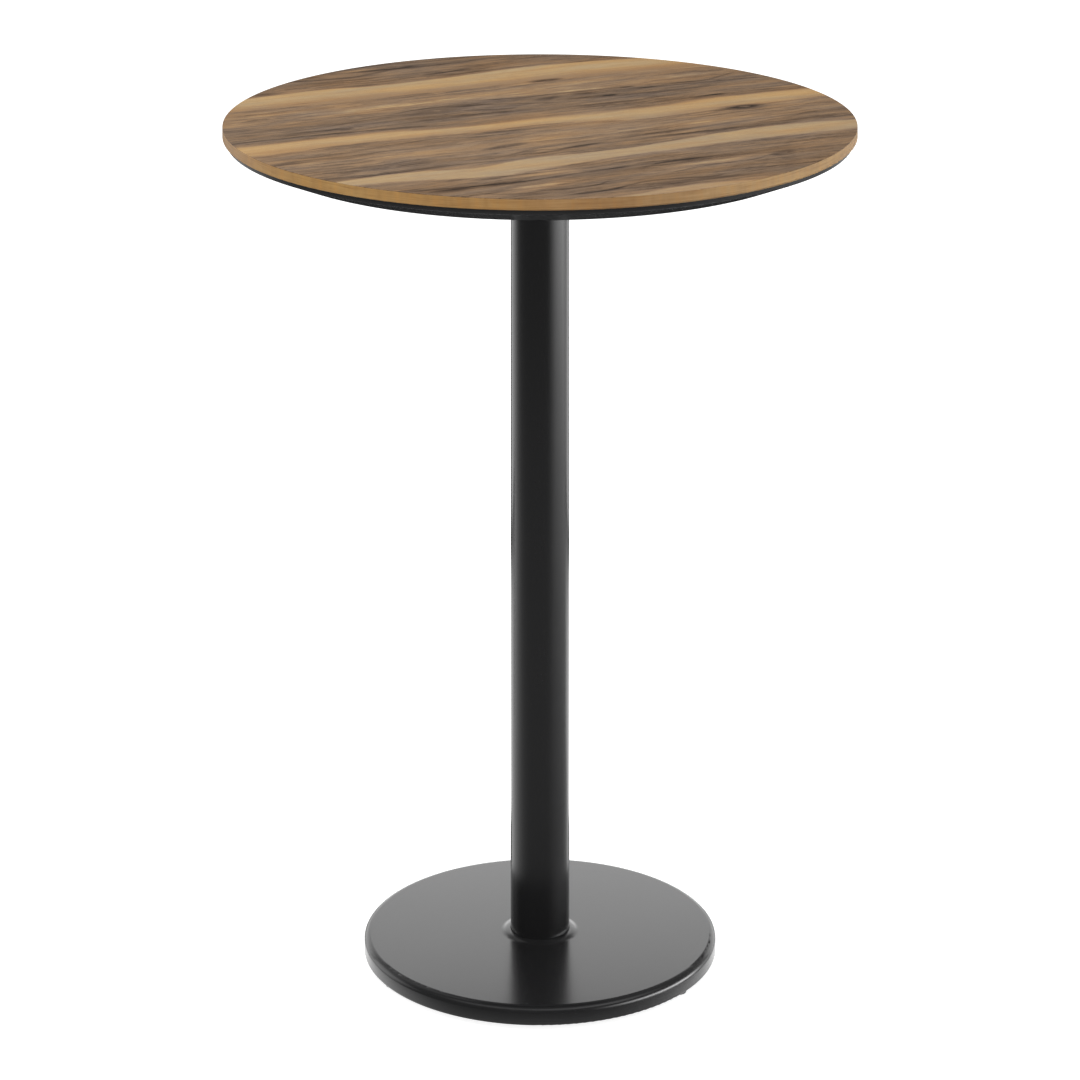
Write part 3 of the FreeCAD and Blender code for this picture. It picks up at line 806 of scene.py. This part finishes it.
@dataclass(frozen=True)
class ChipBoard(Finish):
    """Raw particle board between the laminate and the black board."""
    dark_chip: Colour = (0.26, 0.17, 0.09)
    light_chip: Colour = (0.56, 0.42, 0.26)

    def paint(self, graph: Graph) -> Dict[str, Any]:
        """Pressed chips of different browns.

        Args:
            graph: the material's graph.

        Returns:
            The shader's sockets.
        """
        place = graph.place()
        chips = graph.node("ShaderNodeTexVoronoi", {"feature": "F1"},
                           {"Vector": graph.moved(place, (1.0, 1.6, 2.4)), "Scale": 320.0})
        shade = graph.noise(place, 260.0, 4.0, 0.6)
        chip, _, _ = graph.split(chips.outputs["Color"])
        tone = chip * 0.6 + shade * 0.4
        return {"Base Color": graph.ramp(tone, ((0.1, self.dark_chip), (0.9, self.light_chip))),
                "Roughness": 0.78 + (shade - 0.5) * 0.2,
                "Normal": graph.bump(tone, 0.0002)}


@dataclass(frozen=True)
class MouldedPlastic(Finish):
    """Black moulded plastic of the foot pads."""
    colour: Colour = (0.010, 0.010, 0.011)
    scuffed: Colour = (0.022, 0.022, 0.022)

    def paint(self, graph: Graph) -> Dict[str, Any]:
        """Spark-eroded mould texture.

        Args:
            graph: the material's graph.

        Returns:
            The shader's sockets.
        """
        place = graph.place()
        grain = graph.noise(place, 1800.0, 3.0, 0.6)
        scuff = graph.noise(place, 220.0, 4.0, 0.65)
        return {"Base Color": graph.mix(scuff.smooth(0.5, 0.8), self.colour, self.scuffed),
                "Roughness": 0.50 + (grain - 0.5) * 0.2 + scuff.smooth(0.55, 0.8) * 0.12,
                "Normal": graph.bump(grain, 0.00003)}


# ---------------------------------------------------------------- sub-assemblies
def dress(node: str, finish: Finish) -> None:
    """Gives a solid of the frame its finish.

    Args:
        node: the solid's name.
        finish: what it is finished in.
    """
    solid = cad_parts[node]
    material = bpy.data.materials.get(finish.name) or finish.material()
    for slot in solid.material_slots:
        slot.material = material
    LOG.info("%s: %s", node, finish.name)


@dataclass
class RoundTop:
    """Laminate, core board and edge band over the black shaped board with its inserts."""
    radius: float = 0.4
    lacquer: Colour = (0.0310, 0.0310, 0.0315)

    def build(self) -> None:
        """Dresses the top's solids."""
        dress("laminate_sheet", GrainDecor("walnut_decor"))
        dress("edge_band", EdgeVeneer("golden_veneer", radius=self.radius))
        dress("core_board", ChipBoard("chip_board"))
        dress("underside_board", BlackCoat("black_lacquer", self.lacquer, roughness=0.20, gloss=0.06,
                                           relief=0.00001))
        dress("threaded_inserts", BrightMetal("brass_insert", Metal.BRASS))


@dataclass
class Pedestal:
    """Spider, screws, column and tie rod."""
    casting: Colour = (0.014, 0.014, 0.014)

    def build(self) -> None:
        """Dresses the pedestal's solids."""
        dress("top_spider", BlackCoat("painted_casting", self.casting, roughness=0.45, gloss=0.4,
                                      dimple=0.002, relief=0.00001, cast=0.00012))
        dress("spider_screws", BrightMetal("zinc_plate"))
        dress("column_tube", BlackCoat("powder_coat"))
        for node in ("tie_rod", "rod_upper_nut", "rod_lower_nut", "clamp_washer", "spring_washer"):
            dress(node, BrightMetal("zinc_plate"))
        dress("centring_bush", BrightMetal("turned_steel", Metal.TURNED))


@dataclass
class WeightedBase:
    """Spun cover with its ballast, sleeves and three levelling feet."""
    primer: Colour = (0.03, 0.029, 0.028)
    feet: Tuple[str, ...] = ("front_right", "back", "front_left")

    def build(self) -> None:
        """Dresses the base's solids."""
        dress("base_cover", BlackCoat("powder_coat"))
        dress("ballast_disc", BlackCoat("primed_iron", self.primer, roughness=0.6, gloss=0.3, dimple=0.002,
                                        relief=0.00001, cast=0.0002))
        dress("foot_sleeves", BrightMetal("turned_steel", Metal.TURNED))
        for foot in self.feet:
            dress("foot_stud_" + foot, BrightMetal("zinc_plate"))
            dress("foot_pad_" + foot, MouldedPlastic("moulded_plastic"))


# ---------------------------------------------------------------- studio
def shown_to(piece: bpy.types.Object, side: Side) -> None:
    """Hides a stage piece that is only mirrored from every other kind of ray; any other piece is left as it
    is.

    Args:
        piece: the stage piece.
        side: which rays see it.
    """
    if side is Side.MIRRORED:
        piece.visible_camera = piece.visible_diffuse = piece.visible_shadow = False
        piece.visible_transmission = piece.visible_volume_scatter = False


@dataclass(frozen=True)
class Lamp:
    """A soft rectangular lamp: where it hangs, its width and height, and its power in watts."""
    name: str
    place: Place
    size: Tuple[float, float]
    power: float


@dataclass
class Studio:
    """Pale floor, white surroundings, soft lamps, the camera, and what the table's gloss mirrors.

    The mirrored pieces are seen by gloss alone. Film is in mm. Focal length and horizon are in widths of the
    frame, and the horizon is measured down from its upper edge.
    """
    sky: float = 0.62
    floor_reach: float = 40.0
    floor_colour: Colour = (0.74, 0.74, 0.74)
    floor_glow: float = 0.88
    dome_radius: float = 60.0
    sheet_glow: float = 1.55
    box_glow: float = 7.4
    room_glow: float = 0.13
    ring_radius: float = 0.285
    ring_lift: float = 0.0005
    panel_width: float = 1.5
    panel_height: float = 0.385
    panel_back: float = 0.4
    lamps: Sequence[Lamp] = (
        Lamp("ceiling_lamp", (-0.4, -1.4, 3.4), (3.0, 3.0), 62.0),
        Lamp("right_lamp", (2.3, -0.45, 0.75), (2.2, 1.3), 5.0))
    lamp_aim: Place = (0.0, 0.0, 0.6)
    film: float = 36.0
    focal: float = 4012.4234 / 1080
    horizon: float = -790.8533 / 1080
    distance: float = 5.0660185
    eye_height: float = 2.2010458

    def build(self) -> None:
        """Makes everything round the table."""
        self.world()
        self.floor()
        self.mirrored_far()
        self.mirrored_floor()
        self.mirrored_panel()
        for lamp in self.lamps:
            self.hang(lamp)
        self.camera()
        LOG.info("studio: surroundings, floor, mirrored pieces, lamps and camera")

    def seen(self, graph: Graph) -> Value:
        """1 for rays that come straight from the camera, off gloss or through glass.

        Args:
            graph: the graph of the material or the world.

        Returns:
            1 for those rays and 0 for others.
        """
        path = graph.node("ShaderNodeLightPath")
        straight = Value(graph, path.outputs["Is Camera Ray"])
        glossy = Value(graph, path.outputs["Is Glossy Ray"])
        return straight.most(glossy).most(Value(graph, path.outputs["Is Transmission Ray"]))

    def world(self) -> None:
        """White surroundings, and an even light from all round."""
        world = bpy.data.worlds.new("surroundings")
        world.use_nodes = True
        bpy.context.scene.world = world
        graph = Graph(world.node_tree)
        strength = self.sky + self.seen(graph) * (1.0 - self.sky)
        light = graph.node("ShaderNodeBackground", None, {"Color": WHITE, "Strength": strength})
        graph.finish(light.outputs[0], "ShaderNodeOutputWorld")

    def floor(self) -> None:
        """A pale floor that keeps the table's shadow."""
        bpy.ops.object.select_all(action="DESELECT")
        bpy.ops.mesh.primitive_plane_add(size=self.floor_reach, location=(0.0, 0.0, 0.0))
        floor = bpy.context.active_object
        floor.name = "studio_floor"
        shown_to(floor, Side.ALL)
        floor.visible_glossy = False
        material, graph = new_material("pale_floor")
        floor.data.materials.append(material)
        lit = graph.node("ShaderNodeBsdfDiffuse", None, {"Color": self.floor_colour})
        glow = graph.node("ShaderNodeEmission", None,
                          {"Color": WHITE, "Strength": self.seen(graph) * self.floor_glow})
        both = graph.node("ShaderNodeAddShader", None, {0: lit.outputs[0], 1: glow.outputs[0]})
        graph.finish(both.outputs[0])

    def mirrored(self, name: str) -> Graph:
        """Names the new piece, keeps it for gloss alone and gives it an empty material.

        Args:
            name: the name of the piece and of its material.

        Returns:
            The material's graph.
        """
        piece = bpy.context.active_object
        piece.name = name
        shown_to(piece, Side.MIRRORED)
        material, graph = new_material(name)
        material.cycles.emission_sampling = "NONE"
        piece.data.materials.append(material)
        return graph

    def glowing(self, graph: Graph, strength: Value) -> None:
        """Ends a mirrored piece's graph with a white glow of this strength."""
        glow = graph.node("ShaderNodeEmission", None, {"Color": WHITE, "Strength": strength})
        graph.finish(glow.outputs[0])

    def mirrored_far(self) -> None:
        """What gloss sees far off: white sheets at both sides, a tall box at the right and a strip overhead.

        Around and up are the direction's two angles in degrees: 0 is the front, and level.
        """
        bpy.ops.object.select_all(action="DESELECT")
        bpy.ops.mesh.primitive_uv_sphere_add(segments=64, ring_count=32, radius=self.dome_radius)
        graph = self.mirrored("mirrored_far")
        place = graph.place()
        x, y, z = graph.split(place)
        around = graph.heading(x, y) * DEGREES
        up = graph.math("ARCSINE", z / graph.length(place)) * DEGREES

        # Below -14.3 degrees the left sheet reaches further to the front, with a softer edge.
        below = (-14.3 - up).most(0.0)
        edge = below * 3.65 - 106.0 + up.smooth(-14.0, 8.0) * up.smooth(26.0, 10.0) * 14.0
        left = ((edge - around) / (17.0 + below * 3.1)).smooth(-1.0, 1.0)

        # At the right, light wanes low down. Behind the table the sheets are darker and end higher.
        wane = 1 - up.smooth(-14.8, -18.0) * around.smooth(150.0, 120.0) * 0.55
        right = around.smooth(74.0, 150.0) * (1 - up.smooth(-5.0, 20.0) * 0.6) * wane
        behind = (abs(around) - around.smooth(0.0, 60.0) * 4.0).smooth(140.0, 170.0)
        sheets = (left.most(right) * (0.25 + up.smooth(34.0, 14.0) * 0.75) * (1 - behind * 0.72)
                  * up.smooth(-27.0 + behind * 23.0, -22.0 + behind * 26.0) * self.sheet_glow)

        box = (around.smooth(30.0, 80.0) * around.smooth(125.0, 97.0) * up.smooth(17.0, -1.0)
               * (0.38 + up.smooth(-15.0, -6.0) * 0.62 + up.smooth(-6.0, 0.0) * 0.6)
               * up.smooth(-17.2, -12.0) * wane * self.box_glow)
        strip = (up.smooth(27.0, 42.0) * up.smooth(63.0, 52.0) * around.smooth(120.0, 55.0)
                 * (around.smooth(-95.0, -40.0) * 0.75 + around.smooth(0.0, 50.0) * 0.6))
        room = (self.room_glow - behind * up.smooth(4.0, -4.0) * 0.115
                + up.smooth(-14.0, -22.0) * 0.17 * (1 - behind))
        self.glowing(graph, room + sheets + box + strip)

    def mirrored_floor(self) -> None:
        """The pale floor that gloss sees close round the base: dimmer in front and at its own edge."""
        bpy.ops.object.select_all(action="DESELECT")
        bpy.ops.mesh.primitive_circle_add(vertices=96, radius=self.ring_radius, fill_type="NGON",
                                          location=(0.0, 0.0, self.ring_lift))
        graph = self.mirrored("mirrored_floor")
        x, y, _ = graph.split(graph.place())
        apart = graph.off_axis(x, y)
        aside = abs(graph.heading(x, y))
        self.glowing(graph, (0.15 + apart.smooth(0.272, 0.235) * 0.5) * (1 + aside.smooth(0.45, 1.15) * 1.6))

    def mirrored_panel(self) -> None:
        """The upright lit panel that gloss sees behind the base: a bright middle between two dimmer sides."""
        bpy.ops.object.select_all(action="DESELECT")
        bpy.ops.mesh.primitive_plane_add(size=1.0, location=(0.0, self.panel_back, self.panel_height / 2),
                                         rotation=(math.radians(90), 0.0, 0.0))
        bpy.context.active_object.scale = (self.panel_width, self.panel_height, 1.0)
        graph = self.mirrored("mirrored_panel")
        x, y, _ = graph.split(graph.place())
        height = y * self.panel_height + self.panel_height / 2
        aside = abs(x) * self.panel_width
        middle = ((2.3 - height.smooth(-0.09, 0.34) * 0.95) * height.smooth(0.38, 0.31)
                  * aside.smooth(0.345, 0.25))
        sides = aside.smooth(0.24, 0.32) * aside.smooth(0.74, 0.62) * (1.6 - height.smooth(0.20, 0.37) * 1.3)
        self.glowing(graph, 0.10 + middle.most(sides))

    def hang(self, lamp: Lamp) -> None:
        """Hangs a lamp and points it at the table. Gloss doesn't show it.

        Args:
            lamp: the lamp.
        """
        data = bpy.data.lights.new(lamp.name, "AREA")
        data.shape = "RECTANGLE"
        data.size, data.size_y = lamp.size
        data.energy = lamp.power
        piece = bpy.data.objects.new(lamp.name, data)
        bpy.context.scene.collection.objects.link(piece)
        piece.location = lamp.place
        ray = Vector(self.lamp_aim) - Vector(lamp.place)
        piece.rotation_euler = ray.to_track_quat("-Z", "Y").to_euler()
        piece.visible_glossy = False

    def camera(self) -> None:
        """A level-film camera: the film stays upright while the lens looks down at the table.

        The rig's matrix holds the tilt of the film, so the lens itself needs no shift.
        """
        slope = (0.5 - self.horizon) / self.focal
        stretch = math.sqrt(1 + slope * slope)
        back = Vector((0.0, 1.0, -slope)) / stretch
        data = bpy.data.cameras.new("camera")
        data.sensor_width = self.film
        data.lens = self.film * self.focal * stretch
        data.clip_start, data.clip_end = 0.1, 200.0
        camera = bpy.data.objects.new("camera", data)
        rig = bpy.data.objects.new("camera_rig", None)
        for piece in (camera, rig):
            bpy.context.scene.collection.objects.link(piece)
        camera.parent = rig
        camera.matrix_parent_inverse = Matrix((
            (1.0, 0.0, -back.x, 0.0), (0.0, 0.0, -back.y, -self.distance),
            (0.0, 1.0, -back.z, self.eye_height), (0.0, 0.0, 0.0, 1.0)))
        bpy.context.scene.camera = camera


def main() -> None:
    """Builds the table and its studio."""
    logging.basicConfig(level=logging.INFO, format="%(name)s %(message)s")
    bpy.context.scene.view_settings.view_transform = "Standard"
    for part in (RoundTop(), Pedestal(), WeightedBase(), Studio()):
        part.build()


if __name__ == "__main__":
    main()
